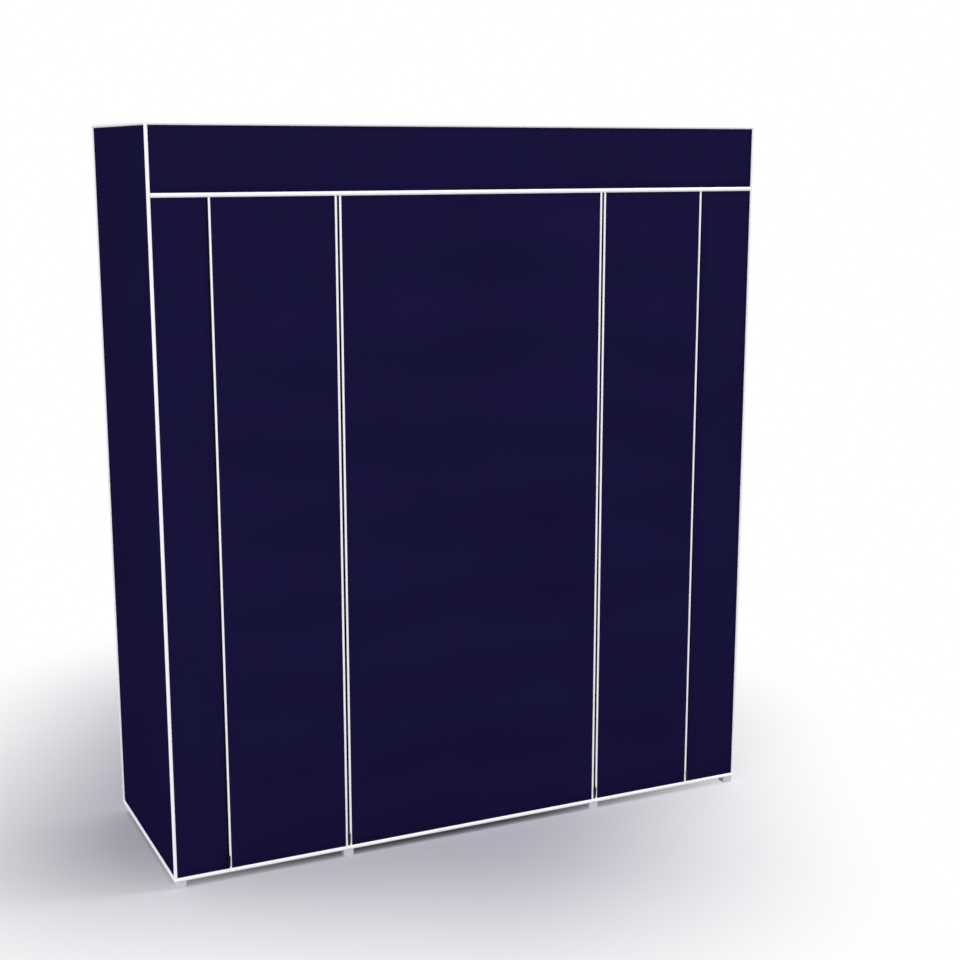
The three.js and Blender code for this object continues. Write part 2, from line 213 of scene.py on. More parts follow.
tube_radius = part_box("left_outer_depth_tube_bottom")[1].z - middle("left_outer_depth_tube_bottom").z
tube_wall = 0.0006
tier_count = 4
lowest_tier = middle("left_outer_depth_tube_bottom").z
highest_tier = middle("left_outer_depth_tube_top").z
tier_pitch = (highest_tier - lowest_tier) / tier_count
tiers = [lowest_tier + i * tier_pitch for i in range(tier_count + 1)]
column_names = ["left_outer", "left_inner", "right_inner", "right_outer"]
column_x = [middle(f"{name}_depth_tube_bottom").x for name in column_names]
row_y = {row: middle(f"centre_top_tube_{row}").y for row in ("front", "back")}
push_fit = 0.0063
steel = powder_coat()


def tube(mesh, start, end):
    """A length of tube, open at both ends, whose mouths are a little rounded from the cut"""
    axis = (end - start).normalized()
    length = (end - start).length
    rounding = tube_wall / 2
    inner = tube_radius - tube_wall
    turned(mesh, start, axis, [
        (0, inner), (0, tube_radius - rounding), (rounding, tube_radius),
        (length - rounding, tube_radius), (length, tube_radius - rounding), (length, inner), (0, inner)])


for column, x in zip(column_names, column_x):
    for row, y in row_y.items():
        stack = bmesh.new()
        for lower, upper in zip(tiers, tiers[1:]):
            tube(stack, Vector((x, y, lower + push_fit)), Vector((x, y, upper - push_fit)))
        made(f"{column}_tubes_{row}", stack, steel)


# Connectors and feet: injection-moulded polypropylene in pale grey. Each has a sleeve for the upright and a
# socket for every tube that meets there, with a rim round each mouth and a web under each arm. The lowest
# has no webs and ends in a foot.
def polypropylene():
    plastic = Finish("moulded_polypropylene", metallic=0.0, roughness=0.5, ior=1.49)
    spark_texture = plastic.grain(900, 3.0)
    flow = plastic.grain(35, 2.0)
    plastic.feed(
        base_color=plastic.blend(flow, paint(205, 208, 212), paint(218, 221, 225)),
        roughness=0.42 + spark_texture * 0.2,
        normal=plastic.relief(spark_texture, 0.00005))
    return plastic


sleeve_wall = 0.0026
bore_play = 0.0003
sleeve_radius = tube_radius + sleeve_wall
bore_radius = tube_radius + bore_play
sleeve_half = 0.026
arm_reach = 0.036
arm_floor = 0.0163
rim_height = 0.0007
rim_length = 0.004
chamfer = 0.0008
web_thickness = 0.0024
web_reach = 0.011
foot_width = 0.025
foot_corner = 0.003
foot_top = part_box("edge_piping")[0].z
top_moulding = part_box("left_outer_upright_front")[1].z


def rimmed(start, end, rim_at_start=True):
    """The outside of a sleeve from start to end along its axis, with a raised rim at its mouths"""
    barrel = sleeve_radius - rim_height
    steps = [(start, 0)]
    if rim_at_start:
        steps += [(start, sleeve_radius), (start + rim_length, sleeve_radius)]
    return steps + [
        (start + rim_length, barrel), (end - rim_length, barrel), (end - rim_length, sleeve_radius),
        (end - chamfer, sleeve_radius), (end, sleeve_radius - chamfer), (end, 0)]


def bored(direction, start, end):
    """The bore that a tube is pushed into, from start to end along its axis"""
    bore = bmesh.new()
    turned(bore, Vector(), direction, [(start, 0), (start, bore_radius), (end, bore_radius), (end, 0)])
    return bore


def solid(shape):
    """A shape that only helps to make others: it is removed once it has been joined or cut away"""
    bmesh.ops.recalc_face_normals(shape, faces=shape.faces)
    data = bpy.data.meshes.new("blank")
    shape.to_mesh(data)
    shape.free()
    blank = bpy.data.objects.new("blank", data)
    bpy.context.scene.collection.objects.link(blank)
    return blank


def carved(joins, cuts):
    """The joined shapes without the cuts, as a mesh"""
    whole, *others = [solid(shape) for shape in joins]
    tools = [(blank, "UNION") for blank in others] + [(solid(shape), "DIFFERENCE") for shape in cuts]
    for blank, operation in tools:
        step = whole.modifiers.new(operation, "BOOLEAN")
        step.operation, step.object, step.solver = operation, blank, "EXACT"
    moulded = bpy.data.meshes.new_from_object(whole.evaluated_get(bpy.context.evaluated_depsgraph_get()))
    for blank in [whole] + [blank for blank, _ in tools]:
        bpy.data.objects.remove(blank)
    return moulded


def set_down(stack, moulded, place):
    """Adds a moulded mesh to a stack of them, at its place"""
    before = len(stack.verts)
    stack.from_mesh(moulded)
    stack.verts.ensure_lookup_table()
    bmesh.ops.translate(stack, vec=place, verts=stack.verts[before:])


def web(direction):
    """The stiffening web under an arm: a thin triangle between the sleeve and the arm"""
    shape = bmesh.new()
    root = sleeve_radius / 2
    corner = Vector((root, 0, -root))
    face = shape.faces.new([
        shape.verts.new(corner), shape.verts.new(corner + Vector((sleeve_radius + web_reach - root, 0, 0))),
        shape.verts.new(corner + Vector((0, 0, root - sleeve_radius - web_reach)))])
    sides = bmesh.ops.extrude_face_region(shape, geom=[face])["geom"]
    far = [part for part in sides if isinstance(part, bmesh.types.BMVert)]
    bmesh.ops.translate(shape, vec=(0, web_thickness, 0), verts=far)
    bmesh.ops.translate(shape, vec=(0, -web_thickness / 2, 0), verts=shape.verts)
    turn = Matrix.Rotation(math.atan2(direction[1], direction[0]), 3, "Z")
    bmesh.ops.rotate(shape, cent=(0, 0, 0), matrix=turn, verts=shape.verts)
    return shape


def rise(edge):
    return abs(edge.verts[0].co.z - edge.verts[1].co.z)


def foot_block():
    """The square foot below a column: rounded corners, and a small chamfer where it meets the floor"""
    shape = bmesh.new()
    bmesh.ops.create_cube(shape, size=1)
    bmesh.ops.scale(shape, vec=(foot_width, foot_width, foot_top), verts=shape.verts)
    bmesh.ops.translate(shape, vec=(0, 0, foot_top / 2), verts=shape.verts)
    standing = [edge for edge in shape.edges if rise(edge) > foot_top / 2]
    bmesh.ops.bevel(
        shape, geom=standing, offset=foot_corner, segments=5, profile=0.5, affect="EDGES", material=-1)
    rims = [
        edge for edge in shape.edges
        if rise(edge) < same_point and len(edge.link_faces) == 2 and edge.link_faces[0].normal.z ** 2 > 0.5]
    bmesh.ops.bevel(shape, geom=rims, offset=chamfer, segments=2, profile=0.5, affect="EDGES", material=-1)
    return shape


def moulding(arms, place):
    """One connector round the origin. place is bottom, inner or top, and the bottom one stands on its foot"""
    below = -lowest_tier + foot_top / 2 if place == "bottom" else -sleeve_half
    above = top_moulding - highest_tier if place == "top" else sleeve_half
    joins, cuts = [bmesh.new()], []
    turned(joins[0], Vector(), (0, 0, 1), rimmed(below, above, rim_at_start=place != "bottom"))
    for direction in arms:
        arm = bmesh.new()
        turned(arm, Vector(), direction, rimmed(0, arm_reach, rim_at_start=False))
        joins.append(arm)
        if place != "bottom":
            joins.append(web(direction))
        cuts.append(bored(direction, arm_floor, arm_reach + chamfer))
    if place == "bottom":
        foot = foot_block()
        bmesh.ops.translate(foot, vec=(0, 0, -lowest_tier), verts=foot.verts)
        joins.append(foot)
    if place != "top":
        cuts.append(bored((0, 0, 1), push_fit, sleeve_half + chamfer))
    if place != "bottom":
        cuts.append(bored((0, 0, 1), -sleeve_half - chamfer, -push_fit))
    return carved(joins, cuts)


plastic = polypropylene()
arms_at_shelves = {"left_outer": [1], "left_inner": [-1], "right_inner": [1], "right_outer": [-1]}
arms_at_ends = {"left_outer": [1], "left_inner": [-1, 1], "right_inner": [-1, 1], "right_outer": [-1]}
inward = {"front": 1, "back": -1}
patterns = {}
for column, x in zip(column_names, column_x):
    for row, y in row_y.items():
        stack = bmesh.new()
        for tier, height in enumerate(tiers):
            place = "bottom" if tier == 0 else "top" if tier == tier_count else "inner"
            arms = [(sign, 0, 0) for sign in (arms_at_shelves if place == "inner" else arms_at_ends)[column]]
            if place != "inner" or tier == tier_count // 2:
                arms.append((0, inward[row], 0))
            pattern = (tuple(arms), place)
            if pattern not in patterns:
                patterns[pattern] = moulding(arms, place)
            set_down(stack, patterns[pattern], (x, y, height))
        connectors = made(f"{column}_connectors_{row}", stack, plastic)
        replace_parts(connectors, f"{column}_upright_{row}")


# Depth and top tubes: the same steel tube, cut shorter. Depth tubes tie each front column to the one behind
# it at the floor, in the middle and at the top, and top tubes close each bay. All are pushed into sockets.
def cut_to_length(node, axis):
    """The tube that stands for a node, from end to end of its box"""
    start, end = middle(node), middle(node)
    start[axis], end[axis] = [corner[axis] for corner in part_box(node)]
    length = bmesh.new()
    tube(length, start, end)
    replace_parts(made(f"{node}.steel", length, steel), node)


bays = {
    "left": (column_x[0], column_x[1]), "centre": (column_x[1], column_x[2]),
    "right": (column_x[2], column_x[3])}
for column in column_names:
    for level in ("bottom", "middle", "top"):
        cut_to_length(f"{column}_depth_tube_{level}", axis=1)
for bay in bays:
    for row in row_y:
        cut_to_length(f"{bay}_top_tube_{row}", axis=0)


# Hanging rail: a tube across the centre bay, in a moulded tee at each end that slides on the top depth tube.
# The tee is threaded on that tube before the frame is closed.
tee_half_length = 0.013
rail_left, rail_right = bays["centre"]
rail = bmesh.new()
tube(rail, *[Vector((x, 0, highest_tier)) for x in (rail_left + arm_floor, rail_right - arm_floor)])
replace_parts(made("rail_tube", rail, steel), "hanging_rail")
tees = bmesh.new()
for x, sign in ((rail_left, 1), (rail_right, -1)):
    body = bmesh.new()
    turned(body, Vector(), (0, 1, 0), rimmed(-tee_half_length, tee_half_length))
    neck = bmesh.new()
    turned(neck, Vector(), (sign, 0, 0), rimmed(0, arm_reach, rim_at_start=False))
    through = tee_half_length + chamfer
    tee = carved([body, neck], [
        bored((0, 1, 0), -through, through), bored((sign, 0, 0), arm_floor, arm_reach + chamfer)])
    set_down(tees, tee, (x, 0, highest_tier))
made("rail_tees", tees, plastic)


# Shelves: navy non-woven cloth, doubled and hemmed, with a sewn sleeve along its front and back edges. A
# width tube goes through each sleeve and into the sockets, so the cloth hangs between them and sags a little.
stitch_pitch = 0.0036
stitch_length = 0.0027
thread_width = 0.0006
bond_pitch = 0.0022


def non_woven(name, light, dark, thread):
    """Spun-bonded polypropylene: a mat of fine fibres, pressed together at rows of small points, and sewn"""
    cloth = Finish(name, roughness=0.75, specular_ior_level=0.0)
    flat, flat_back = [
        cloth.node("ShaderNodeUVMap", {"uv_map": seams}) for seams in ("from_first_seams", "from_last_seams")]
    across, up, across_back, up_back = [
        cloth.node("ShaderNodeSeparateXYZ", {}, {0: cut}, output=axis)
        for cut in (flat, flat_back) for axis in "XY"]

    def sewn(distances, along):
        """1 on the stitches of the seams at both edges of the cloth, and 0 elsewhere"""
        first, last = [distance.maths("COMPARE", 0.0, thread_width / 2) for distance in distances]
        dash = (along / stitch_pitch).maths("FRACT")
        return first.maths("MAXIMUM", last) * dash.maths("COMPARE", 0.5, stitch_length / stitch_pitch / 2)

    stitches = sewn((across, across_back), up).maths("MAXIMUM", sewn((up, up_back), across))
    rising = (across + up) * (math.pi / bond_pitch)
    falling = (across - up) * (math.pi / bond_pitch)
    bonds = (rising.maths("SINE") * falling.maths("SINE")) ** 2
    fibres = cloth.grain(1500, 2.0, (1, 0.2, 1), flat).maths(
        "MAXIMUM", cloth.grain(1500, 2.0, (0.2, 1, 1), flat))
    cloud = cloth.grain(2.2, 3.0, where=flat)
    mat = cloud * 0.5 + fibres * 0.9 - bonds * 0.45
    cloth.feed(
        base_color=cloth.blend(stitches, cloth.blend(mat, dark, light), thread),
        roughness=0.85 - bonds * 0.3,
        normal=cloth.relief(fibres * 0.35 - bonds * 0.5 + stitches, 0.00022))
    return cloth


def chart(mesh, place, first_seams, last_seams):
    """Lays the cloth flat: how far each point is from the first seams across and up it, and from the last"""
    layers = [(mesh.loops.layers.uv.new("from_first_seams"), first_seams, 1),
              (mesh.loops.layers.uv.new("from_last_seams"), last_seams, -1)]
    for face in mesh.faces:
        for loop in face.loops:
            spot = place(loop.vert)
            for layer, seams, sign in layers:
                loop[layer].uv = [sign * (value - seam) for value, seam in zip(spot, seams)]


shelf_thickness = 0.0014
shelf_sag = 0.006
end_gap = 0.004
sleeve_seam = 0.006
sleeve_steps = 20
sleeve_turn = math.tau * 0.93
shelf_rows = 24
shelf_columns = 28
hem_width = 0.012
middle_sag = 0.003
crumple_depth = 0.0012
crumples = (9, 7, 5)
flat_share = (0.05, 0.95)
cloth_radius = tube_radius + shelf_thickness / 2
shelf_cloth = non_woven("shelf_cloth", paint(33, 28, 74), paint(17, 13, 45), paint(52, 47, 98))


def sleeve(x, y, sign, height):
    """The cloth's line round a tube, from over its top to the sleeve's seam"""
    turns = [math.pi / 2 + sleeve_turn * step / sleeve_steps for step in range(sleeve_steps + 1)]
    return [
        Vector((x, y + sign * cloth_radius * math.cos(turn), height + cloth_radius * math.sin(turn)))
        for turn in turns]


def shelf(low_x, high_x, height):
    """The cloth from the back sleeve's seam, round the back tube, across and round the front tube"""
    span = []
    for step in range(1, shelf_rows):
        share = step / shelf_rows
        drop = shelf_sag * math.sin(math.pi * share) ** 2
        y = row_y["back"] + (row_y["front"] - row_y["back"]) * share
        span.append(Vector((low_x, y, height + cloth_radius - drop)))
    line = sleeve(low_x, row_y["back"], -1, height)[::-1] + span + sleeve(low_x, row_y["front"], 1, height)
    cloth = bmesh.new()
    walked = cloth.verts.layers.float.new("walked")
    points = [cloth.verts.new(point) for point in line]
    edges = [cloth.edges.new(pair) for pair in zip(points, points[1:])]
    for edge in edges:
        edge.verts[1][walked] = edge.verts[0][walked] + edge.calc_length()
    bmesh.ops.spin(
        cloth, geom=points + edges, cent=(0, 0, 0), axis=(1, 0, 0), angle=0, steps=shelf_columns,
        dvec=((high_x - low_x) / shelf_columns, 0, 0))
    return cloth, walked, points[-1][walked]


def sag_between_ends(cloth, low_x, high_x, height):
    """Where nothing hems it the cloth hangs lower: most in the middle, least at its hemmed ends"""
    for vert in cloth.verts:
        across = (vert.co.x - low_x) / (high_x - low_x)
        depth = (vert.co.y - row_y["front"]) / (row_y["back"] - row_y["front"])
        if flat_share[0] < depth < flat_share[1] and vert.co.z > height:
            spot = [value * scale for value, scale in zip((vert.co.x, vert.co.y, height), crumples)]
            share = math.sin(math.pi * across) * math.sin(math.pi * depth)
            vert.co.z += share * (crumple_depth * noise.noise(Vector(spot)) - middle_sag)


shelf_places = [
    (f"{bay}_shelf_{tier + 1}", bay, tier) for bay in ("left", "right") for tier in range(tier_count)]
shelf_places.append(("centre_floor_shelf", "centre", 0))
for node, bay, tier in shelf_places:
    low_x = bays[bay][0] + arm_reach + end_gap
    high_x = bays[bay][1] - arm_reach - end_gap
    cloth, walked, flat_length = shelf(low_x, high_x, tiers[tier])
    sag_between_ends(cloth, low_x, high_x, tiers[tier])
    around = sleeve_turn * cloth_radius + sleeve_seam
    chart(
        cloth, lambda vert: (vert.co.x, vert[walked]),
        (low_x + hem_width, around), (high_x - hem_width, flat_length - around))
    sheet = made(f"{node}.cloth", cloth, shelf_cloth, crease_degrees=80)
    wall = sheet.modifiers.new("wall", "SOLIDIFY")
    wall.thickness, wall.offset = shelf_thickness, 0
    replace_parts(sheet, node)
    low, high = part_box(node)
    tubes = bmesh.new()
    for y in row_y.values():
        tube(tubes, Vector((low.x, y, tiers[tier])), Vector((high.x, y, tiers[tier])))
    carriers = made(f"{node}.tubes", tubes, steel)
    high_x - low_x


# Cover panels: navy non-woven cloth, cut to the box's faces and pulled taut over the frame by its size. They
# are sewn edge to edge with the piping between them, so each reaches into the bead round it.
cloth_thickness = 0.0011
sewn_in = 0.0015
seam_inset = 0.0035
cell = 0.02
held_margin = 0.06
broad_waves = (2.6, 1.7)
fine_waves = (9, 6)
fine_share = 0.4
fold_pitch = 0.19
fold_margin = 0.025
fold_bulge = 0.3
fold_drift = 1.3
drift_waves = (2.3, 1.1)
drift_seed = 7
cover_cloth = non_woven("cover_cloth", paint(29, 25, 66), paint(16, 12, 43), paint(44, 39, 88))


def waves(u, v, a_metre, seed):
    """Smooth noise over a cut of cloth, with so many waves a metre across it and up it"""
    return noise.noise(Vector((u * a_metre[0], v * a_metre[1], seed)))


def taut(name, low, high, normal, ripple=0.0009, pleat=0.0, seam_across=seam_inset):
    """A flat cut held at its edges, from its low to its high corner, that ripples along its normal"""
    first, last, facing = Vector(low), Vector(high), Vector(normal)
    across = Vector((0, 1, 0)) if facing.x else Vector((1, 0, 0))
    up = Vector((0, 1, 0)) if facing.z else Vector((0, 0, 1))
    width, length = (last - first).dot(across), (last - first).dot(up)
    basis = Matrix((across * width, up * length, facing)).transposed().to_4x4()
    cloth = bmesh.new()
    bmesh.ops.create_grid(
        cloth, x_segments=max(2, round(width / cell)), y_segments=max(2, round(length / cell)), size=0.5,
        matrix=Matrix.Translation((first + last) / 2) @ basis)
    chart(
        cloth, lambda vert: (vert.co.dot(across), vert.co.dot(up)),
        (first.dot(across) + seam_across, first.dot(up) + seam_inset),
        (last.dot(across) - seam_across, last.dot(up) - seam_inset))
    seed = sum(ord(letter) for letter in name) % 50
    for vert in cloth.verts:
        u, v = (vert.co - first).dot(across), (vert.co - first).dot(up)
        free = min(1.0, min(u, width - u, v, length - v) / held_margin)
        slack = waves(u, v, broad_waves, seed) + fine_share * waves(u, v, fine_waves, seed)
        drift = fold_drift * waves(u, v, drift_waves, seed + drift_seed)
        inset = min(1.0, min(u, width - u) / fold_margin)
        fold = (math.sin(math.tau * v / fold_pitch + drift) + fold_bulge) * inset
        vert.co += facing * free * free * (3 - 2 * free) * (ripple * slack + pleat * fold)
    sheet = made(name, cloth, cover_cloth, crease_degrees=80)
    wall = sheet.modifiers.new("wall", "SOLIDIFY")
    wall.thickness, wall.offset = cloth_thickness, 0
    return sheet, (width, length)


panel_normals = {
    "top_panel": (0, 0, 1), "back_panel": (0, 1, 0), "left_side_panel": (-1, 0, 0),
    "right_side_panel": (1, 0, 0), "header_band": (0, -1, 0)}
for node, normal in panel_normals.items():
    low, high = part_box(node)
    flat_axis = [i for i in range(3) if normal[i]][0]
    grow = Vector([0 if i == flat_axis else sewn_in for i in range(3)])
    low, high = low - grow, high + grow
    if node == "header_band":
        low.z -= 2 * sewn_in
    low[flat_axis] = high[flat_axis] = middle(node)[flat_axis]
    panel, flat = taut(f"{node}.cloth", low, high, normal)
    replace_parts(panel, node)


# Front strips: the fixed cloth at each end of the front, sewn in at the corner, the header and the hem. Its
# free edge carries half of a zip.
zip_names = ["left", "centre_left", "centre_right", "right"]
zip_x = {name: middle(f"{name}_zip_slider").x for name in zip_names}
left_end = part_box("left_front_strip")[0].x - sewn_in
right_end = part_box("right_front_strip")[1].x + sewn_in
chain_half = 0.0016
tape_shown = 0.0011
front_y = middle("header_band").y
strip_edges = {
    "left_front_strip": (left_end, zip_x["left"] - chain_half - tape_shown),
    "right_front_strip": (zip_x["right"] + chain_half + tape_shown, right_end)}
cloth_low, cloth_high = [corner.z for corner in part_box("left_front_strip")]
for node, (low_x, high_x) in strip_edges.items():
    strip, flat = taut(
        f"{node}.cloth", (low_x, front_y, cloth_low - sewn_in),
        (high_x, front_y, cloth_high + sewn_in), (0, -1, 0), ripple=0.0004)
    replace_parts(strip, node)


# Piping: white bias-cut cloth folded over a soft cord and sewn into every seam of the box. One run goes round
# the top, one round the hem up to the doors, and four stand in the corners.
def bias_tape():
    tape = Finish("bias_tape", metallic=0.0, roughness=0.6, sheen_weight=0.1)
    yarn = tape.grain(1500, 2.0)
    soil = tape.grain(5, 3.0)
    tape.feed(
        base_color=tape.blend(soil, paint(248, 248, 251), paint(254, 254, 255)),
        roughness=0.55 + yarn * 0.2,
        normal=tape.relief(yarn, 0.00006))
    return tape


piping_finish = bias_tape()
bead_sides = 24
bead_step = 0.03
cover_low, cover_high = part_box("edge_piping")
bead_radius = 0.0046
corner_bead_radius = 0.0038
side_x = cover_high.x - bead_radius
front_bead = cover_low.y + bead_radius
back_bead = cover_high.y - bead_radius
hem_z = cover_low.z + bead_radius
top_z = cover_high.z - bead_radius
turn_radius = 0.0006
turn_steps = 6
hem_gap = 0.0003


def newly(kind, grown, verts=None):
    """The parts of one kind that an operator gives, or only the edges that join the given points"""
    parts = [part for part in grown if isinstance(part, kind)]
    return parts if verts is None else [part for part in parts if all(v in verts for v in part.verts)]


def swept(mesh, edges, path, steps):
    """Draws an outline straight along a path in equal steps, and gives the outline at the far end"""
    for _ in range(steps):
        grown = bmesh.ops.extrude_edge_only(mesh, edges=edges)["geom"]
        verts = newly(bmesh.types.BMVert, grown)
        edges = newly(bmesh.types.BMEdge, grown, verts)
        bmesh.ops.translate(mesh, vec=path / steps, verts=verts)
    return edges


def run_of_piping(mesh, corners, closed, radius=bead_radius):
    """A round bead swept along straight runs, with a tight turn at each corner"""
    start, second = corners[0], corners[1]
    heading = (second - start).normalized()
    ring = bmesh.ops.create_circle(mesh, cap_ends=False, radius=radius, segments=bead_sides)["verts"]
    tilt = Vector((0, 0, 1)).rotation_difference(heading).to_matrix()
    here = start + heading * turn_radius if closed else start
    bmesh.ops.rotate(mesh, cent=(0, 0, 0), matrix=tilt, verts=ring)
    bmesh.ops.translate(mesh, vec=here, verts=ring)
    edges = newly(bmesh.types.BMEdge, mesh.edges, ring)
    if not closed:
        bmesh.ops.edgeloop_fill(mesh, edges=edges)
    route = list(corners[1:]) + ([corners[0]] if closed else [])
    for number, corner in enumerate(route):
        last = number == len(route) - 1 and not closed
        stop = corner if last else corner - heading * turn_radius
        edges = swept(mesh, edges, stop - here, max(1, round((stop - here).length / bead_step)))
        if last:
            bmesh.ops.edgeloop_fill(mesh, edges=edges)
            continue
        following = route[number + 1] if number + 1 < len(route) else corners[1]
        turned_to = (following - corner).normalized()
        grown = bmesh.ops.spin(
            mesh, geom=edges, cent=stop + turned_to * turn_radius, axis=heading.cross(turned_to),
            angle=math.pi / 2, steps=turn_steps)["geom_last"]
        edges = newly(bmesh.types.BMEdge, grown)
        heading, here = turned_to, corner + turned_to * turn_radius
    bmesh.ops.remove_doubles(mesh, verts=mesh.verts, dist=same_point)


beads = bmesh.new()
run_of_piping(beads, [Vector((x, y, top_z)) for x, y in [
    (-side_x, front_bead), (side_x, front_bead), (side_x, back_bead), (-side_x, back_bead)]], closed=True)
run_of_piping(beads, [Vector((x, y, hem_z)) for x, y in [
    (zip_x["left"] - hem_gap, front_bead), (-side_x, front_bead), (-side_x, back_bead),
    (side_x, back_bead), (side_x, front_bead), (zip_x["right"] + hem_gap, front_bead)]], closed=False)
for x in (-side_x, side_x):
    for y in (front_bead, back_bead):
        run_of_piping(
            beads, [Vector((x, y, hem_z)), Vector((x, y, top_z))], closed=False, radius=corner_bead_radius)
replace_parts(made("edge_piping.tape", beads, piping_finish), "edge_piping")


# Header piping: a wider white bead of the same tape, sewn flat on the cloth across the front, where the doors
# and strips hang from the header band.
half_bead_sides = 12


def half_bead(mesh, along, start, end, centre, across, half_width, proud):
    """A half-round bead on the front's cloth: centre is a point of its middle line, proud its height"""
    along, across, out = Vector(along), Vector(across), Vector((0, -1, 0))
    sunk = cloth_thickness / 4
    origin = Vector(centre) + along * start
    points = [mesh.verts.new(origin + across * half_width * math.cos(turn) + out * proud * math.sin(turn))
              for turn in [math.pi * i / half_bead_sides for i in range(half_bead_sides + 1)]]
    points.append(mesh.verts.new(origin - across * half_width - out * sunk))
    points.append(mesh.verts.new(origin + across * half_width - out * sunk))
    edges = list(mesh.faces.new(points).edges)
    edges = swept(mesh, edges, along * (end - start), max(1, round((end - start) / bead_step)))
    bmesh.ops.edgeloop_fill(mesh, edges=edges)


header_low, header_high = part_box("header_piping")
header_width = 0.0098
bead = bmesh.new()
half_bead(
    bead, (1, 0, 0), header_low.x - sewn_in, header_high.x + sewn_in,
    (0, front_y, header_low.z + header_width / 2), (0, 0, 1), header_width / 2, front_y - header_low.y)
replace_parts(made("header_piping.tape", bead, piping_finish), "header_piping")


# Doors: three panels of the cover's cloth, sewn in along the header piping. White piping and half of a zip
# run down both edges, and the hem is piped. A door is rolled up by hand from its hem.
door_proud = 0.0019
single_bead = (0.0016, 0.0066)
double_bead = (0.0025, 0.0076)
bead_edges = {
    "left": single_bead, "centre_left": double_bead, "centre_right": double_bead, "right": single_bead}
doors = {
    "left_door": ("left", "centre_left"), "centre_door": ("centre_left", "centre_right"),
    "right_door": ("centre_right", "right")}
seam_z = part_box("left_door_curtain")[1].z
sewn_under_header = 0.006
door_low = cloth_low - sewn_in
roll_height = next(joint for joint in frame["joints"] if joint["name"] == "left_door_roll")["range_m"][1]
rolled_share = 1 - roll_height / (seam_z - door_low)


def rolls_up(piece):
    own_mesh(piece)


for door, (first, last) in doors.items():
    curtain, flat = taut(
        f"{door}_curtain.cloth", (zip_x[first] + chain_half, front_y, door_low),
        (zip_x[last] - chain_half, front_y, seam_z + sewn_under_header), (0, -1, 0),
        ripple=0.0003, pleat=0.0027, seam_across=0.0085)
    edges = bmesh.new()
    for name, sign in ((first, 1), (last, -1)):
        near, far = bead_edges[name]
        half_bead(
            edges, (0, 0, 1), door_low, seam_z + sewn_under_header,
            (zip_x[name] + sign * (near + far) / 2, front_y, 0), (1, 0, 0),
            (far - near) / 2, door_proud + cloth_thickness / 2)
    tape = made(f"{door}_edge_piping", edges, piping_finish)
    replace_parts(curtain, f"{door}_curtain")
    rolls_up(curtain)
    rolls_up(tape)
    hem = bmesh.new()
    hem_ends = (zip_x[first] + hem_gap, zip_x[last] - hem_gap)
    run_of_piping(hem, [Vector((x, front_bead, hem_z)) for x in hem_ends], closed=False)
    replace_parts(made(f"{door}_hem.tape", hem, piping_finish, body=door), f"{door}_hem")


# Zips: black woven tape with a nylon coil, sewn behind the cloth's edges. Each half carries a row of teeth
# that hooks into the other half's.
def coil_nylon():
    nylon = Finish("coil_nylon", metallic=0.0, roughness=0.5, specular_ior_level=0.1)
    wear = nylon.grain(260, 2.0)
    nylon.feed(
        base_color=nylon.blend(wear, paint(2, 2, 3), paint(12, 12, 15)),
        roughness=0.45 + wear * 0.2)
    return nylon


coil = coil_nylon()
tooth_pitch = 0.0018
tooth_height = 0.0011
tooth_proud = 0.0009
tooth_reach = chain_half * 1.1
tooth_offset = chain_half * 0.42
plain_end = 0.015
tooth_count = int((seam_z - cloth_low - plain_end) / tooth_pitch)
tape_width = 0.012
tape_thickness = 0.00028
slider_back_plate = 0.0009
slider_play = 0.00005
tape_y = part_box("left_zip_slider")[1].y - slider_back_plate - slider_play - tape_thickness / 2
door_at = {(ends[end], sign): door for door, ends in doors.items() for end, sign in ((0, 1), (1, -1))}
for name in zip_names:
    for sign, side in ((-1, "outer"), (1, "inner")):
        half = bmesh.new()
        bmesh.ops.create_cube(half, size=1)
        bmesh.ops.scale(half, vec=(tape_width, tape_thickness, seam_z - door_low), verts=half.verts)
        bmesh.ops.translate(half, verts=half.verts, vec=(
            zip_x[name] + sign * tape_width / 2, tape_y, (seam_z + door_low) / 2))
        tooth = bmesh.ops.create_cube(half, size=1)["verts"]
        bmesh.ops.scale(half, vec=(tooth_reach, tooth_proud, tooth_height), verts=tooth)
        stagger = tooth_pitch / 2 if sign > 0 else 0
        bmesh.ops.translate(half, verts=tooth, vec=(
            zip_x[name] + sign * tooth_offset, tape_y - tape_thickness / 2 - tooth_proud / 2,
            cloth_low + plain_end + stagger))
        faces = dict.fromkeys(face for vert in tooth for face in vert.link_faces)
        edges = dict.fromkeys(edge for vert in tooth for edge in vert.link_edges)
        bmesh.ops.spin(
            half, geom=[*faces, *edges, *tooth], cent=(0, 0, 0), axis=(0, 0, 1), angle=0, use_duplicate=True,
            dvec=(0, 0, tooth_pitch), steps=tooth_count - 1)
        chain = made(f"{name}_zip_{side}_half", half, coil)
        if (name, sign) in door_at:
            rolls_up(chain)


# Zip sliders and pulls: die-cast zinc, enamelled black. The slider's two plates hold the halves together, and
# its bail carries the pull.
def black_enamel():
    enamel = Finish("black_enamel", metallic=0.0, roughness=0.35, specular_ior_level=0.25, coat_weight=0.05)
    rub = enamel.grain(700, 3.0)
    enamel.feed(
        base_color=enamel.blend(rub ** 3, paint(5, 5, 7), paint(40, 40, 45)),
        roughness=0.3 + rub * 0.25)
    return enamel


enamel = black_enamel()
for name in zip_names:
    for part in ("slider", "pull"):
        node = frame["nodes"][f"{name}_zip_{part}"]
        node.data.materials.clear()
        node.data.materials.append(enamel.material)


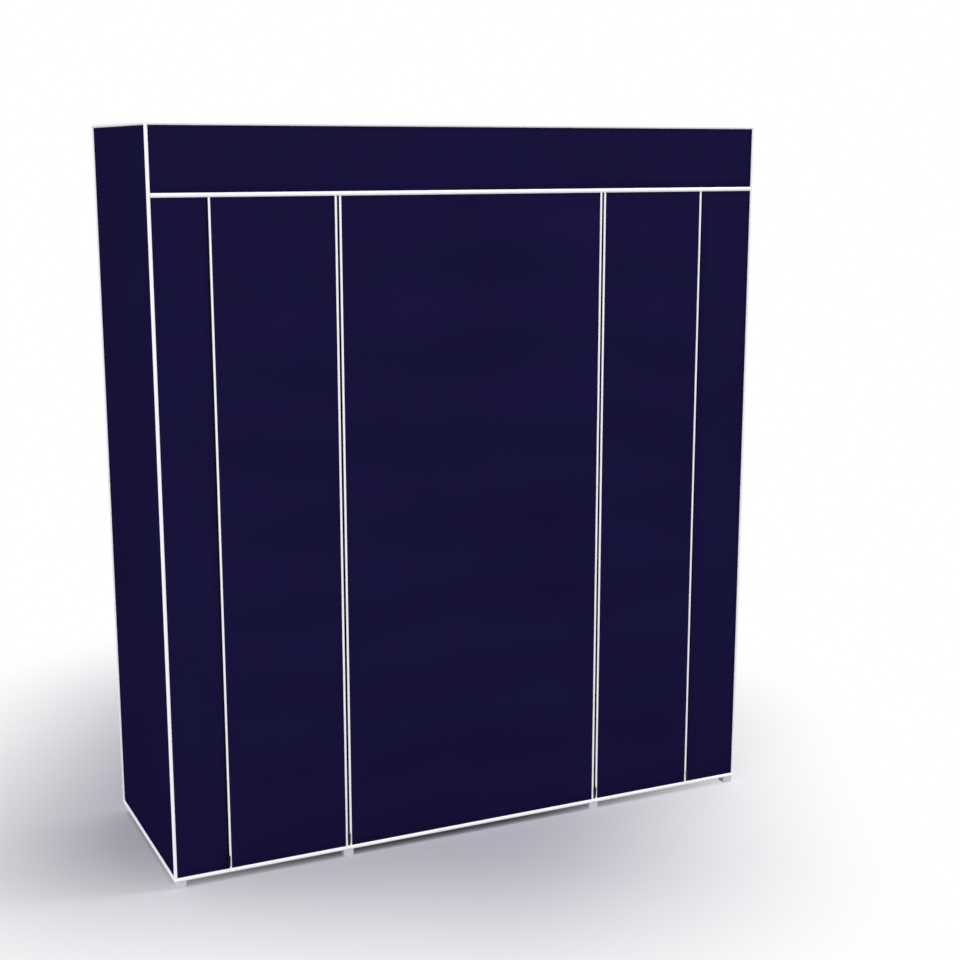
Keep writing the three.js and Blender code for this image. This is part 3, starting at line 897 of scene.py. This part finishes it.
# Floor and light: a plain pale floor that runs out into a white studio. A lamp hangs high beyond the right
# end, so the shadow falls to the left, and a broader one fills from the front left.
white = (1, 1, 1, 1)
floor_half = 30
floor_colours = ((0.51, 0.5, 0.568, 1), (0.55, 0.538, 0.612, 1))
shadow_centre = (-0.13, 0.23, 0)
shadow_half = (0.4, 0.41, 1)
shadow_reach = 1.03
shadow_turn_degrees = 29.5
sky_strength = 0.87


def studio_floor():
    """Pale and matt. Away from the wardrobe the camera sees it as white as the studio behind it"""
    ground = Finish("studio_floor", roughness=0.95, specular_ior_level=0.05)

    def vectors(operation, *terms, output=0):
        return ground.node("ShaderNodeVectorMath", {"operation": operation}, dict(enumerate(terms)), output)

    ground.feed(base_color=ground.blend(ground.grain(3, 3.0), *floor_colours))
    turned_in = ground.node("ShaderNodeMapping", {"vector_type": "POINT"}, {
        "Vector": vectors("SUBTRACT", ground.place, shadow_centre),
        "Rotation": (0, 0, math.radians(shadow_turn_degrees))})
    beyond = vectors("SUBTRACT", vectors("ABSOLUTE", turned_in), shadow_half)
    distance = vectors("LENGTH", vectors("MAXIMUM", beyond, (0, 0, 0)), output="Value")
    fade = ground.node("ShaderNodeMapRange", {"interpolation_type": "SMOOTHSTEP"}, {
        "Value": distance, "From Min": 0.0, "From Max": shadow_reach, "To Min": 0.0, "To Max": 1.0})
    seen = ground.node("ShaderNodeLightPath", output="Is Camera Ray")
    lit = ground.node("ShaderNodeEmission", {}, {"Color": white, "Strength": 1.0})
    matt = Reading(ground, ground.shader.outputs["BSDF"])
    mixed = ground.node("ShaderNodeMixShader", {}, {0: fade * seen, 1: matt, 2: lit})
    ground.tree.links.new(mixed.socket, ground.tree.nodes["Material Output"].inputs["Surface"])
    return ground


floor_mesh = bmesh.new()
bmesh.ops.create_grid(floor_mesh, x_segments=1, y_segments=1, size=floor_half)
floor_data = bpy.data.meshes.new("floor")
floor_mesh.to_mesh(floor_data)
floor_mesh.free()
floor = bpy.data.objects.new("floor", floor_data)
bpy.context.scene.collection.objects.link(floor)
floor_data.materials.append(studio_floor().material)

studio = bpy.data.worlds.new("studio")
bpy.context.scene.world = studio
studio.use_nodes = True
sky = Nodes(studio.node_tree)
in_view, mirrored, through = [
    sky.node("ShaderNodeLightPath", output=f"Is {kind} Ray") for kind in ("Camera", "Glossy", "Transmission")]
soft_light = sky.tree.nodes["Background"]
soft_light.inputs["Color"].default_value = white
soft_light.inputs["Strength"].default_value = sky_strength
white_wall = sky.node("ShaderNodeBackground", {}, {"Color": white, "Strength": 1.0})
either = sky.node("ShaderNodeMixShader", {}, {
    0: in_view.maths("MAXIMUM", mirrored).maths("MAXIMUM", through),
    1: Reading(sky, soft_light.outputs["Background"]),
    2: white_wall})
sky.tree.links.new(either.socket, sky.tree.nodes["World Output"].inputs["Surface"])


def softbox(name, place, aim, width, watts):
    """A square lamp with a diffuser, turned towards aim"""
    lamp = bpy.data.objects.new(name, bpy.data.lights.new(name, "AREA"))
    lamp.data.size = width
    lamp.data.energy = watts
    lamp.location = place
    lamp.rotation_euler = (Vector(aim) - lamp.location).to_track_quat("-Z", "Y").to_euler()
    bpy.context.scene.collection.objects.link(lamp)


softbox("key", place=(3.3, -1.1, 4.4), aim=(0, 0, 0.7), width=1.2, watts=95)
softbox("fill", place=(-4.4, -3.8, 2.8), aim=(0, 0, 0.8), width=3.2, watts=85)

bpy.context.scene.view_settings.view_transform = "Standard"
